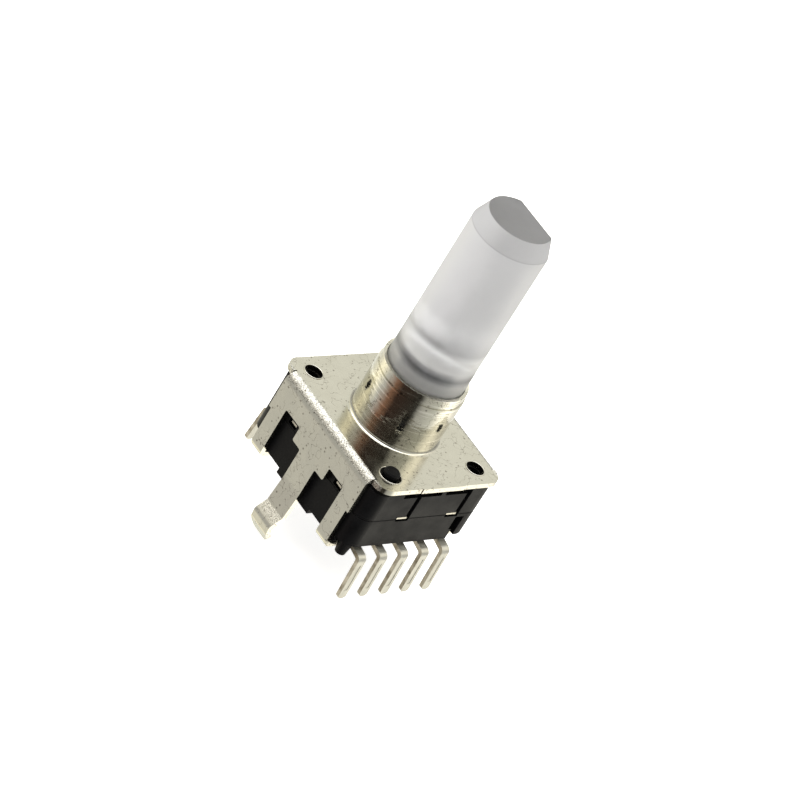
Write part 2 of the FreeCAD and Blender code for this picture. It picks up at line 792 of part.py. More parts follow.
def bent_pin(name, across, root, knee, tip, drop, side):
    """The outer end of a terminal: out of the base, over a knee and down through the board."""
    body = new_body(name)
    sketch = new_sketch(body, "YZ_Plane", f"{across} - pin_width / 2")
    outline = [(root, "lead_top"), (knee, "knee_top"), (tip, f"-{drop}"),
               (f"{tip} - pin_gauge", f"-{drop}"), (f"{knee} - pin_gauge", "knee_top - pin_gauge"),
               (root, "lead_top - pin_gauge")]
    draw_outline(sketch, [(f"{side} * ({along})", up) for along, up in outline])
    pad(sketch, "pin_width")

    def knee_line(place):
        return lambda edge: runs_along(edge, "x") and is_at(edge, y=f"{side} * ({place})")

    def tip_corner(edge):
        spans = spans_of(edge)
        return spans["x"] < NO_LENGTH and spans["y"] > SAME_PLACE and is_at(edge, z=f"-{drop}")

    dress(body, "Fillet", knee_line(knee), Radius="pin_gauge + pin_bend")
    dress(body, "Fillet", knee_line(f"{knee} - pin_gauge"), Radius="pin_bend")
    dress(body, "Chamfer", tip_corner, Size="pin_chamfer")
    groove = new_sketch(body, "YZ_Plane", f"{across} - pin_groove_width / 2")
    low = f"-{drop} + pin_groove_end"
    slope = f"({tip} - {knee}) / ({drop} + knee_top)"
    low_face = f"{tip} - {slope} * pin_groove_end"
    high_face = f"{knee} + {slope} * (knee_top + pin_groove_top)"
    draw_outline(groove, [(f"{side} * ({face})", up) for face, up in (
        (f"{low_face} + pin_gauge", low), (f"{low_face} - pin_groove_depth", low),
        (f"{high_face} - pin_groove_depth", "-pin_groove_top"),
        (f"{high_face} + pin_gauge", "-pin_groove_top"))])
    pocket(groove, "pin_groove_width", backwards=True)
    return body


def front_pin(name, across):
    """The outer end of one of the five front terminals."""
    return bent_pin(name + "_pin", across, "wall_half", "front_knee", "front_tip", "front_tip_drop",
                    "-1")


def lead(corners):
    """Flat lead inside the base, one box for each run between two corners."""
    runs = []
    for (x0, y0), (x1, y1) in zip(corners, corners[1:]):
        low_x, high_x = sorted((x0, x1), key=value)
        low_y, high_y = sorted((y0, y1), key=value)
        half = "lead_square / 2"
        runs.append(box("lead_run", (f"{low_x} - {half}", f"{high_x} + {half}"),
                        (f"{low_y} - {half}", f"{high_y} + {half}"), LEAD_SPAN))
    return runs


# Corners of each front terminal's lead inside the base, from its pin to its riser.
LEAD_START = "-wall_half + lead_square / 2"
LEAD_ROUTES = {
    "switch_terminal_inner": [("-2 * front_pitch", LEAD_START), ("-2 * front_pitch", "0"),
                              ("-(inner_contact_in + inner_contact_out) / 2", "0")],
    "led_terminal_red": [("-front_pitch", LEAD_START), ("-front_pitch", "-lead_turn"),
                         ("-led_lead", "-lead_turn"), ("-led_lead", "0")],
    "led_terminal_common": [("0", LEAD_START), ("0", "0")],
    "led_terminal_green": [("front_pitch", LEAD_START), ("front_pitch", "-lead_turn"),
                           ("led_lead", "-lead_turn"), ("led_lead", "0")],
    "switch_terminal_outer": [("2 * front_pitch", LEAD_START), ("2 * front_pitch", "0"),
                              ("(outer_contact_in + outer_contact_out) / 2", "0")],
}
RISER_TOPS = {
    "switch_terminal_inner": "switch_floor",
    "led_terminal_red": "cup_height + bond_rise",
    "led_terminal_common": "cup_height",
    "led_terminal_green": "cup_height + bond_rise",
    "switch_terminal_outer": "switch_floor",
}


def riser(name):
    """The upright end of a front terminal's lead."""
    x, y = LEAD_ROUTES[name][-1]
    half = "lead_square / 2"
    return box("riser", (f"{x} - {half}", f"{x} + {half}"), (f"{y} - {half}", f"{y} + {half}"),
               ("lead_top - pin_gauge", RISER_TOPS[name]))


def front_terminal(name, across):
    """One front terminal: bent pin outside, flat lead and riser inside the base."""
    pieces = [front_pin(name, across)] + lead(LEAD_ROUTES[name]) + [riser(name)]
    return fused(name, pieces)


def lead_cuts():
    """The room that the front leads and risers take in the base."""
    cuts = []
    for name, across in FRONT_PLACES:
        cuts += lead(LEAD_ROUTES[name])
        cuts.append(riser(name))
    return cuts


def upright_cut(across):
    """The room that one rear terminal takes in the base."""
    return box("upright_room", (f"{across} - pin_width / 2", f"{across} + pin_width / 2"),
               ("rear_riser - pin_gauge", "rear_riser"), ("core_bottom", "split"))


def rear_terminal(name, across):
    """One rear terminal: seat under its wiper, upright through the base, bent pin outside."""
    x_span = (f"{across} - pin_width / 2", f"{across} + pin_width / 2")
    seat = box("wiper_seat_" + name, x_span, (wiper_seat_front(name), "rear_riser"),
               ("split", "split + pin_gauge"))
    upright = box("upright_" + name, x_span, ("rear_riser - pin_gauge", "rear_riser"),
                  ("lead_top - pin_gauge", "split + pin_gauge"))
    pin = bent_pin(f"encoder_pin_{name}", across, "rear_riser - rear_overlap", "rear_knee", "rear_tip",
                   "rear_tip_drop", "1")
    return fused(f"encoder_terminal_{name}", [seat, upright, pin])


def wiper(name, across):
    """A spring strip that stands on its terminal and reaches up to the code disc."""
    body = new_body(f"wiper_{name}")
    sketch = new_sketch(body, "YZ_Plane", f"{across} - wiper_width / 2")
    back = "middle_wiper_back" if name == "common" else "side_wiper_back"
    seat = "split + floor_gauge"
    front = f"{back} - wiper_reach"
    high = "hub_bottom - disc_gauge - wiper_rest"
    draw_outline(sketch, [
        (back, seat), (back, f"{seat} + wiper_gauge"), (f"{back} - wiper_seat", f"{seat} + wiper_gauge"),
        (f"{front} + 3 * wiper_gauge", high), (f"{front} + wiper_gauge", high),
        (front, f"{high} - 1.5 * wiper_gauge"), (f"{front} + wiper_gauge", f"{high} - 1.5 * wiper_gauge"),
        (f"{front} + 2 * wiper_gauge", f"{high} - wiper_gauge"),
        (f"{back} - wiper_seat", seat)])
    pad(sketch, "wiper_width")
    return body


# ---------------------------------------------------------------- light-pipe shaft and rotor

def light_pipe_shaft():
    """Translucent shaft: flat and bevelled tip, retaining flange, splined hollow foot."""
    body = new_body("light_pipe_shaft")
    sketch = new_sketch(body, "XZ_Plane")
    draw_outline(sketch, [
        ("light_well", "shaft_foot"), ("spigot_radius", "shaft_foot"), ("spigot_radius", "flange_bottom"),
        ("flange_radius", "flange_bottom"), ("flange_radius", "flange_top"), ("shaft_radius", "flange_top"),
        ("shaft_radius", "shaft_tip"), ("0", "shaft_tip"), ("0", "light_well_top + light_well_cone"),
        ("light_well_roof", "light_well_top + light_well_cone"), ("light_well", "light_well_top")])
    turn(sketch)
    flat = new_sketch(body, "XY_Plane", "shaft_tip + gauge")
    draw_rectangle(flat, "flat_distance", "2 * shaft_radius", "-2 * shaft_radius", "2 * shaft_radius")
    pocket(flat, "shaft_tip + gauge - flat_start")
    bevel = dress(body, "Chamfer",
                  lambda edge: is_at(edge, z="shaft_tip") and not runs_along(edge, "y"),
                  Size="tip_bevel_deep", Size2="tip_bevel_long")
    bevel.ChamferType = "Two distances"
    bevel.FlipDirection = True
    settle(bevel)
    top = max(body.Shape.Faces, key=lambda face: face.CenterOfMass.z)
    if abs(top.BoundBox.YLength / 2 - value("shaft_radius - tip_bevel_deep")) > SAME_PLACE:
        raise RuntimeError("the shaft's bevel runs the wrong way")
    spline = new_sketch(body, "XY_Plane", "shaft_foot")
    draw_rectangle(spline, "-spline_half", "spline_half", "spigot_radius - spline_root", "spline_reach")
    draw_rectangle(spline, "-spline_half", "spline_half", "-spline_reach", "-spigot_radius + spline_root")
    pad(spline, "flange_bottom - shaft_foot")
    return body


def ring(name, inner, outer, low, high):
    """A plain turned ring."""
    body = new_body(name)
    sketch = new_sketch(body, "XZ_Plane")
    draw_rectangle(sketch, inner, outer, low, high)
    turn(sketch)
    return body


def thrust_washer():
    """Slippery washer between the shaft's flange and the plate."""
    return ring("thrust_washer", "washer_in", "washer_out", f"{UNDER_PLATE} - washer_gauge", UNDER_PLATE)


def rotor_hub():
    """Hub that the shaft turns and slides through, with a ring of detent notches on top."""
    body = new_body("rotor_hub")
    sketch = new_sketch(body, "XZ_Plane")
    draw_outline(sketch, [
        ("hub_bore", "hub_bottom"), ("hub_radius", "hub_bottom"), ("hub_radius", "hub_rim_top"),
        ("hub_rim_in", "hub_rim_top"), ("hub_rim_in", "hub_web_top"), ("hub_bore", "hub_web_top")])
    turn(sketch)
    keyway = new_sketch(body, "XY_Plane", "hub_rim_top")
    half = "spline_half + spline_gap"
    reach = "spline_reach + spline_gap"
    draw_rectangle(keyway, f"-({half})", half, f"-({reach})", reach)
    pocket(keyway, "hub_rim_top")
    notch = new_sketch(body, "YZ_Plane", "hub_rim_in - detent_width")
    draw_outline(notch, [("-detent_width", "hub_rim_top + detent_depth"), ("0", "hub_rim_top - detent_depth"),
                         ("detent_width", "hub_rim_top + detent_depth")])
    first = pocket(notch, "hub_radius - hub_rim_in + 2 * detent_width", backwards=True)
    repeat_around(first, "detents")
    return body


def code_disc():
    """Thin conductive disc with a ring of slots, on the hub's underside."""
    body = ring("code_disc", "disc_in", "disc_out", "hub_bottom - disc_gauge", "hub_bottom")
    slot = new_sketch(body, "XY_Plane", "hub_bottom")
    draw_rectangle(slot, "slot_in", "slot_out", "-slot_width / 2", "slot_width / 2")
    first = pocket(slot, "2 * disc_gauge")
    repeat_around(first, "detents")
    return body


def detent_spring():
    """Flat ring under the plate with two noses that drop towards the hub's notches."""
    low = f"{UNDER_PLATE} - spring_gauge"
    body = ring("detent_spring", "spring_in", "spring_out", low, UNDER_PLATE)
    gap = new_sketch(body, "XY_Plane", UNDER_PLATE)
    draw_rectangle(gap, "-2 * spring_out", "2 * spring_out", "-spring_reach", "spring_reach")
    pocket(gap, "2 * spring_gauge")
    for side in ("spring_in", "-spring_in - nose_width"):
        nose = new_sketch(body, "YZ_Plane", side)
        draw_outline(nose, [
            ("-spring_reach - nose_root", UNDER_PLATE), ("-spring_reach - nose_root", low),
            ("-spring_reach + spring_gauge", low), ("-spring_nose", "spring_low"),
            ("spring_nose", "spring_low"), ("spring_reach - spring_gauge", low),
            ("spring_reach + nose_root", low), ("spring_reach + nose_root", UNDER_PLATE),
            ("spring_reach - spring_gauge / 2", UNDER_PLATE),
            ("spring_nose - spring_gauge / 2", "spring_low + spring_gauge"),
            ("-spring_nose + spring_gauge / 2", "spring_low + spring_gauge"),
            ("-spring_reach + spring_gauge / 2", UNDER_PLATE)])
        pad(nose, "nose_width")
    ear_root = "(spring_in + spring_out) / 2"
    for side in ("1", "-1"):
        ear = new_sketch(body, "XY_Plane", low)
        draw_rectangle(ear, "-ear_half", "ear_half", f"{side} * {ear_root}", f"{side} * ear_reach")
        pad(ear, "spring_gauge")
    return body


# ---------------------------------------------------------------- switch

def switch_plunger():
    """Ring that passes the shaft's push to the dome; two keys stop it turning."""
    body = new_body("switch_plunger")
    sketch = new_sketch(body, "XZ_Plane")
    shelf = "plunger_bottom + plunger_flange_gauge"
    draw_outline(sketch, [
        ("plunger_bore", "plunger_bottom"), ("plunger_flange", "plunger_bottom"), ("plunger_flange", shelf),
        ("plunger_radius", shelf), ("plunger_radius", "plunger_top"), ("plunger_bore", "plunger_top")])
    turn(sketch)
    key = new_sketch(body, "XY_Plane", "plunger_bottom")
    for inner, outer in (("-key_reach", "-plunger_radius"), ("plunger_radius", "key_reach")):
        draw_rectangle(key, inner, outer, "-key_half", "key_half")
    pad(key, "plunger_flange_gauge")
    return body


def switch_dome():
    """Snap dome with a hole for the light: a thin crowned ring that stands on the outer contact."""
    body = new_body("switch_dome")
    sketch = new_sketch(body, "XZ_Plane")
    foot = "switch_floor + contact_gauge"
    crown = "(dome_rim + dome_bore) / 2"
    draw_outline(sketch, [
        ("dome_rim", foot), ("dome_rim", f"{foot} + dome_gauge"),
        (f"{crown} + crown_out", "dome_top"), (f"{crown} - crown_in", "dome_top"),
        ("dome_bore", "dome_top - lip_drop"), ("dome_bore", "dome_top - lip_drop - dome_gauge"),
        (f"{crown} - crown_in + dome_slant", "dome_top - dome_gauge"),
        (f"{crown} + crown_out - dome_slant", "dome_top - dome_gauge"), ("dome_rim - dome_foot", foot)])
    turn(sketch)
    return body


def switch_contact_outer():
    """Fixed contact that the dome stands on."""
    return ring("switch_contact_outer", "outer_contact_in", "outer_contact_out",
                "switch_floor", "switch_floor + contact_gauge")


def switch_contact_inner():
    """Fixed contact that the dome snaps down to."""
    return ring("switch_contact_inner", "inner_contact_in", "inner_contact_out",
                "switch_floor", "switch_floor + contact_gauge")


# ---------------------------------------------------------------- light

CUP_TOP = "cup_height + cup_gauge"


def led_die(name, side):
    """One light-emitting die on the plate, on one side of its middle."""
    across = f"{side} * die_offset"
    half = "die_side / 2"
    die = box(name, (f"{across} - {half}", f"{across} + {half}"), (f"-{half}", half),
              (CUP_TOP, f"{CUP_TOP} + die_height"))
    die.Label = name
    return die


def led_cup(name="led_cup"):
    """Small plate on the common lead that carries both dies."""
    plate = box(name, ("-cup_half_x", "cup_half_x"), ("-cup_half_y", "cup_half_y"),
                ("cup_height", CUP_TOP))
    plate.Label = name
    return plate


def led_lens():
    """Clear domed lens moulded around the leads and the dies."""
    body = new_body("lens_moulding")
    sketch = new_sketch(body, "XZ_Plane")
    draw_rectangle(sketch, "0", "lens_radius", "well_floor", "lens_shoulder + lens_radius")
    turn(sketch)
    dress(body, "Fillet", lambda edge: is_at(edge, z="lens_shoulder + lens_radius"), Radius="lens_round")
    cores = [riser(name) for name in FRONT_NAMES if name.startswith("led")]
    cores += [led_cup("cup_room"), led_die("left_die_room", "-1"), led_die("right_die_room", "1")]
    return cut_from("led_lens", body, cores)


# ---------------------------------------------------------------- assembly

def build_pieces():
    """Every piece of the encoder, each with the label that names its file."""
    pieces = [bushing_frame(), upper_housing(), lower_housing(), lead_frame_ties()]
    pieces += [light_pipe_shaft(), thrust_washer(), rotor_hub(), code_disc(), detent_spring()]
    pieces += [wiper(name, across) for name, across in REAR_PLACES]
    pieces += [rear_terminal(name, across) for name, across in REAR_PLACES]
    pieces += [front_terminal(name, across) for name, across in FRONT_PLACES]
    pieces += [switch_plunger(), switch_dome(), switch_contact_outer(), switch_contact_inner()]
    pieces += [led_cup(), led_die("led_die_red", "-1"), led_die("led_die_green", "1"), led_lens()]
    return pieces


def check(pieces):
    """Stop if any object failed, or any piece is empty or not valid."""
    for thing in doc.Objects:
        if {"Invalid", "Error"} & set(thing.State):
            raise RuntimeError(f"{thing.Name} is {thing.State}")
    for piece in pieces:
        if piece.Shape.isNull() or not piece.Shape.isValid() or not piece.Shape.Solids:
            raise RuntimeError(f"{piece.Label} has no valid solid")


def export(pieces):
    """Write one STEP file for each piece."""
    os.makedirs("parts", exist_ok=True)
    for piece in pieces:
        piece.Shape.exportStep(f"parts/{piece.Label}.step")


all_pieces = build_pieces()
doc.recompute()
check(all_pieces)
export(all_pieces)
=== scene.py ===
import json
import math

import bpy
from mathutils import Euler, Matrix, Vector

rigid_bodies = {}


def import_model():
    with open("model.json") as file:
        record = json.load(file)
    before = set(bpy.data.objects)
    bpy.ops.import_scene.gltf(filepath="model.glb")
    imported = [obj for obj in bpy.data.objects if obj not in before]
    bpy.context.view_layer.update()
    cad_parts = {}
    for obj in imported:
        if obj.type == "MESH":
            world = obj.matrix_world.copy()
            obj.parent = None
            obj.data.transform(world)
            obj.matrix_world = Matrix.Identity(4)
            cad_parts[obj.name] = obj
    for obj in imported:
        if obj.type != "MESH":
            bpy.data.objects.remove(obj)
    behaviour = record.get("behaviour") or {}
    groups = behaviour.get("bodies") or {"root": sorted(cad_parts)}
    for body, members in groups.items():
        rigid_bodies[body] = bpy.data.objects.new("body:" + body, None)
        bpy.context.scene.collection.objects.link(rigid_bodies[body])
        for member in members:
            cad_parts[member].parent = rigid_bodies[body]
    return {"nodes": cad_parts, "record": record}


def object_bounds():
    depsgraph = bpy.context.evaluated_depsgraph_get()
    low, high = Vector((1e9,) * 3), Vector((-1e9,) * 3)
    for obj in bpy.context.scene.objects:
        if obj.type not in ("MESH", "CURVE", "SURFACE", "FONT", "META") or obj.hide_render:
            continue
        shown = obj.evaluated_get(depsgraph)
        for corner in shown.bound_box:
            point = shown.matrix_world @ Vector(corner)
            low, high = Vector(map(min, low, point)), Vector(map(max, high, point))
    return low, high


for leftover in list(bpy.data.objects):
    bpy.data.objects.remove(leftover)

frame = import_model()
cad_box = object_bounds()
nodes = frame["nodes"]

MM = 0.001

# Places on the cover, in millimetres: where the plate's side bends begin, inward and below, the
# heights between which a snap leg's kink is painted with a glint, and the collar's radius.
BEND_INNER = 5.5
BEND_LOW = 6.3
KNEE = -2.0
KINK = -1.32
COLLAR_RADIUS = 3.4

# How far the collar's finish runs out onto the plate, and how wide the edge of a finish is.
COLLAR_MARGIN = 0.2
FINISH_EDGE = 0.1

# Heights on the shaft, in millimetres: the roof of the well inside it and the foot of its bevel.
WELL_ROOF = 13.15
BEVEL_START = 24.2

# Bands of height, in millimetres: where each one starts, is full, fades and ends.
KINK_BAND = (KNEE, KNEE + 0.3, KINK - 0.03, KINK + 0.03)
# Painted shade: a dark ring round the well's roof, standing in for the shade seen inside the clear
# plastic.
PAINTED_DARK_RING_BAND = (WELL_ROOF - 0.45, WELL_ROOF, WELL_ROOF + 0.1, WELL_ROOF + 0.75)
# Painted light: a bright band above the well's roof, standing in for light reflected inside the plastic.
PAINTED_BRIGHT_BAND = (WELL_ROOF, WELL_ROOF + 0.5, WELL_ROOF + 1.9, WELL_ROOF + 2.4)
# Painted shade: a soft darker band higher up the shaft.
PAINTED_SOFT_SHADE_BAND = (WELL_ROOF + 2.2, WELL_ROOF + 2.5, WELL_ROOF + 3.1, WELL_ROOF + 4.1)
# Painted shade: a thin dark line at the foot of the bevel.
PAINTED_CREASE_SHADE_BAND = (BEVEL_START - 0.05, BEVEL_START, BEVEL_START + 0.02, BEVEL_START + 0.07)


# ---------------------------------------------------------------- shader graphs

class Graph:
    """A node tree of one material or world, with short ways to add and join nodes."""

    def __init__(self, owner):
        owner.use_nodes = True
        self.owner = owner
        self.tree = owner.node_tree

    def node(self, kind, inputs=None, **settings):
        """Add a node; an input that is given a socket is linked, any other is set."""
        made = self.tree.nodes.new("ShaderNode" + kind)
        for name, setting in settings.items():
            setattr(made, name, setting)
        for name, given in (inputs or {}).items():
            self.feed(made.inputs[name], given)
        return made

    def feed(self, socket, given):
        """Link a socket to another, or set its value."""
        if isinstance(given, bpy.types.NodeSocket):
            self.tree.links.new(given, socket)
        else:
            socket.default_value = given

    def place(self, stretch=(1, 1, 1)):
        """The surface point in millimetres, stretched along the object's axes."""
        coordinates = self.node("TexCoord").outputs["Object"]
        scale = [along / MM for along in stretch]
        return self.node("Mapping", {"Vector": coordinates, "Scale": scale}).outputs["Vector"]

    def noise(self, scale, detail=3, roughness=0.5, stretch=(1, 1, 1)):
        """Noise from 0 to 1, with its scale in features per millimetre."""
        inputs = {"Vector": self.place(stretch), "Scale": scale, "Detail": detail,
                  "Roughness": roughness}
        return self.node("TexNoise", inputs).outputs["Fac"]

    def spots(self, scale, reach):
        """1 inside small scattered spots and 0 elsewhere; reach is their size against their spacing."""
        inputs = {"Vector": self.place(), "Scale": scale}
        distance = self.node("TexVoronoi", inputs).outputs["Distance"]
        return self.remap(distance, reach, 0.5 * reach, 0, 1)

    def remap(self, source, low, high, to_low=0.0, to_high=1.0):
        """A value taken from one range to another and held at its ends."""
        inputs = {"Value": source, "From Min": low, "From Max": high,
                  "To Min": to_low, "To Max": to_high}
        return self.node("MapRange", inputs).outputs["Result"]

    def calculate(self, operation, first, second=0.0):
        """One step of arithmetic."""
        made = self.node("Math", operation=operation)
        self.feed(made.inputs[0], first)
        self.feed(made.inputs[1], second)
        return made.outputs[0]

    def both(self, first, second):
        """1 only where both masks are."""
        return self.calculate("MULTIPLY", first, second)

    def band(self, source, start, full, fading, end):
        """1 from full to fading, and 0 before start and after end."""
        return self.both(self.remap(source, start, full), self.remap(source, end, fading))

    def share(self, mask, part):
        """A mask weakened to part of its strength."""
        return self.calculate("MULTIPLY", mask, part)

    def hairs(self, scale, width):
        """1 along thin wandering lines and 0 elsewhere."""
        middle = self.calculate("SUBTRACT", self.noise(scale, detail=2), 0.5)
        offset = self.calculate("ABSOLUTE", middle)
        return self.remap(offset, width, 0.5 * width, 0, 1)

    def axes(self):
        """The surface point's X, Y and Z in millimetres."""
        split = self.node("SeparateXYZ", {"Vector": self.place()})
        return split.outputs["X"], split.outputs["Y"], split.outputs["Z"]

    def mix(self, share, first, second):
        """One colour blended into another."""
        made = self.node("MixRGB", {"Fac": share, "Color1": first, "Color2": second})
        return made.outputs["Color"]

    def ramp(self, source, stops):
        """A colour ramp over 0 to 1, from (place, tint) stops."""
        made = self.node("ValToRGB", {"Fac": source})
        elements = made.color_ramp.elements
        while len(elements) < len(stops):
            elements.new(0.5)
        for element, (where, tint) in zip(elements, stops):
            element.position = where
            element.color = tint
        return made.outputs["Color"]


class Surface(Graph):
    """A material around one Principled shader."""

    def __init__(self, name, **fixed):
        super().__init__(bpy.data.materials.new(name))
        self.shader = self.tree.nodes["Principled BSDF"]
        for socket, given in fixed.items():
            self.set(socket.replace("_", " "), given)

    def set(self, socket, given):
        """Set or link one of the shader's inputs."""
        self.feed(self.shader.inputs[socket], given)

    def bump(self, height, depth, under=None):
        """Raise the surface by height times depth in millimetres, on top of an earlier bump."""
        made = self.node("Bump", {"Height": height, "Distance": depth * MM, "Strength": 1.0})
        if under is not None:
            self.feed(made.inputs["Normal"], under)
        return made.outputs["Normal"]


def colour(red, green, blue):
    """A colour with full alpha."""
    return (red, green, blue, 1.0)


# ---------------------------------------------------------------- materials

def cover_zones(surface):
    """Masks of the cover's crazed side bends, the kinks of its snap legs, where a glint is painted, and
    its collar.
    """
    x, y, z = surface.axes()
    out = surface.calculate("ABSOLUTE", x)
    on_bend = surface.both(surface.remap(out, BEND_INNER, BEND_INNER + FINISH_EDGE),
                           surface.remap(z, BEND_LOW, BEND_LOW + FINISH_EDGE))
    on_kink = surface.band(z, *KINK_BAND)
    squares = [surface.calculate("MULTIPLY", along, along) for along in (x, y)]
    radius = surface.calculate("SQRT", surface.calculate("ADD", *squares))
    collar_edge = COLLAR_RADIUS + COLLAR_MARGIN
    on_collar = surface.remap(radius, collar_edge + FINISH_EDGE, collar_edge)
    return on_bend, on_kink, on_collar


def wear_marks(surface):
    """A mask of the plating's wear: specks on its dull patches and hair scratches between them."""
    patches = surface.noise(0.7, detail=2)
    dull = surface.remap(patches, 0.46, 0.56)
    bright = surface.remap(patches, 0.56, 0.46)
    specks = surface.both(surface.spots(scale=2.4, reach=0.24), dull)
    scratches = surface.both(surface.hairs(scale=1.35, width=0.01), bright)
    return surface.calculate("MAXIMUM", specks, scratches)


def plated_cover():
    """Bright tin plate over sheet steel, with wear marks, crazed bends, a painted glint on the snap
    legs' kinks and a turned collar.
    """
    surface = Surface("plated_cover", Metallic=1.0)
    on_bend, on_kink, on_collar = cover_zones(surface)
    mottle = surface.noise(0.9, detail=4)
    grain = surface.noise(14, detail=2)
    crazed = surface.noise(11, detail=3, roughness=0.7)

    base = surface.mix(mottle, colour(0.58, 0.565, 0.5), colour(0.67, 0.66, 0.59))
    base = surface.mix(surface.remap(grain, 0.3, 0.8, 0, 0.35), base, colour(0.45, 0.43, 0.37))
    rings = surface.noise(5, detail=3, stretch=(0.05, 0.05, 1))
    turned = surface.both(surface.remap(rings, 0.56, 0.66), on_collar)
    base = surface.mix(turned, base, colour(0.85, 0.83, 0.76))
    flakes = surface.remap(crazed, 0.44, 0.56)
    craze = surface.mix(flakes, colour(0.3, 0.295, 0.265), colour(0.78, 0.77, 0.71))
    base = surface.mix(on_bend, base, craze)
    # Painted glint: the snap legs' kinks are painted a bright, sparkling colour.
    sparks = surface.remap(crazed, 0.4, 0.56)
    painted_glint = surface.mix(sparks, colour(0.5, 0.48, 0.43), colour(0.95, 0.93, 0.87))
    base = surface.mix(on_kink, base, painted_glint)
    base = surface.mix(surface.share(wear_marks(surface), 0.7), base, colour(0.12, 0.1, 0.08))
    surface.set("Base Color", base)

    smoother_collar = surface.remap(on_collar, 0, 1, 1, 0.7)
    polish = surface.both(surface.remap(mottle, 0.3, 0.7, 0.13, 0.2), smoother_collar)
    surface.set("Roughness", surface.calculate("MAXIMUM", polish, surface.share(on_bend, 0.42)))

    ragged = surface.both(surface.noise(1.2, detail=1, stretch=(0.8, 0.8, 2.2)), on_collar)
    crazing = surface.bump(surface.both(crazed, on_bend), 0.015)
    drawn = surface.bump(ragged, 0.022, crazing)
    fine = surface.bump(grain, 0.0005, drawn)
    surface.set("Normal", surface.bump(mottle, 0.008, fine))
    return surface.owner


def moulded_black():
    """Black moulded plastic with the fine texture of a sparked mould."""
    surface = Surface("moulded_black", Specular_IOR_Level=0.1)
    cloud = surface.noise(0.7, detail=3)
    grain = surface.noise(22, detail=2)
    pigment = surface.mix(cloud, colour(0.0015, 0.0015, 0.0018), colour(0.0055, 0.0055, 0.006))
    surface.set("Base Color", pigment)
    surface.set("Roughness", surface.remap(cloud, 0.3, 0.7, 0.32, 0.5))
    surface.set("Normal", surface.bump(grain, 0.006))
    return surface.owner


def tinned_terminal():
    """Tinned brass: drawn along its length, with darker sheared sides."""
    surface = Surface("tinned_terminal", Metallic=0.7)
    streaks = surface.noise(6, detail=3, stretch=(1, 0.25, 0.25))
    cloud = surface.noise(1.5, detail=3)
    normal = surface.node("NewGeometry").outputs["Normal"]
    across = surface.node("SeparateXYZ", {"Vector": normal}).outputs["X"]
    side = surface.remap(surface.calculate("ABSOLUTE", across), 0.75, 0.95)
    face = surface.mix(cloud, colour(0.46, 0.45, 0.39), colour(0.57, 0.56, 0.5))
    torn = surface.remap(streaks, 0.3, 0.7)
    sheared = surface.mix(torn, colour(0.17, 0.14, 0.09), colour(0.6, 0.56, 0.46))
    surface.set("Base Color", surface.mix(side, face, sheared))
    surface.set("Roughness", surface.remap(streaks, 0.3, 0.7, 0.34, 0.46))
    surface.set("Normal", surface.bump(streaks, 0.006))
    return surface.owner


def sheared_metal():
    """Bright sheared ends of the tie bars."""
    surface = Surface("sheared_metal", Metallic=1.0)
    streaks = surface.noise(20, detail=2, stretch=(1, 1, 0.2))
    surface.set("Base Color", surface.mix(streaks, colour(0.6, 0.57, 0.48), colour(0.8, 0.77, 0.68)))
    surface.set("Roughness", surface.remap(streaks, 0.3, 0.7, 0.3, 0.5))
    surface.set("Normal", surface.bump(streaks, 0.004))
    return surface.owner


def frosted_light_pipe():
    """Clear plastic with a frosted skin, and light and shade painted into its colour: a painted dark
    ring round the well's roof with a painted bright band and a painted soft shade above it, a part below
    painted paler, a painted dark line at the bevel's foot and an end face painted darker."""
    surface = Surface("frosted_light_pipe", IOR=1.49, Transmission_Weight=0.75)
    cloud = surface.noise(0.6, detail=2)
    grain = surface.noise(30, detail=1)
    height = surface.axes()[2]
    normal = surface.node("NewGeometry").outputs["Normal"]
    upward = surface.node("SeparateXYZ", {"Vector": normal}).outputs["Z"]
    skin = surface.mix(cloud, colour(0.455, 0.455, 0.465), colour(0.495, 0.495, 0.505))
    # Painted light and shade: bands of height painted darker or lighter over the skin.
    painted_light_and_shade_bands = [
        (PAINTED_BRIGHT_BAND, 1.0, colour(0.81, 0.815, 0.82)),
        (PAINTED_SOFT_SHADE_BAND, 0.35, colour(0.3, 0.3, 0.31)),
        (PAINTED_DARK_RING_BAND, 0.8, colour(0.06, 0.065, 0.075)),
        (PAINTED_CREASE_SHADE_BAND, 0.4, colour(0.15, 0.15, 0.16)),
    ]
    for band, strength, tint in painted_light_and_shade_bands:
        skin = surface.mix(surface.share(surface.band(height, *band), strength), skin, tint)
    # Painted light: the part below the well's roof is painted paler.
    painted_pale_below_roof = surface.remap(height, WELL_ROOF - 0.3, WELL_ROOF - 0.6)
    skin = surface.mix(painted_pale_below_roof, skin, colour(0.7, 0.7, 0.69))
    # Painted shade: the flat end face, found by its upward normal, is painted darker.
    painted_dark_end_face = surface.mix(cloud, colour(0.23, 0.23, 0.245), colour(0.33, 0.33, 0.345))
    surface.set("Base Color", surface.mix(surface.remap(upward, 0.9, 0.98), skin, painted_dark_end_face))
    surface.set("Roughness", surface.remap(cloud, 0.3, 0.7, 0.28, 0.34))
    surface.set("Normal", surface.bump(grain, 0.002))
    return surface.owner


def plain_moulding(name, dark, light, roughness):
    """An inner moulding in one plastic, with slight flow marks."""
    surface = Surface(name)
    cloud = surface.noise(0.8, detail=3)
    surface.set("Base Color", surface.mix(cloud, dark, light))
    surface.set("Roughness", surface.remap(cloud, 0.3, 0.7, roughness - 0.06, roughness + 0.06))
    surface.set("Normal", surface.bump(surface.noise(18, detail=2), 0.004))
    return surface.owner


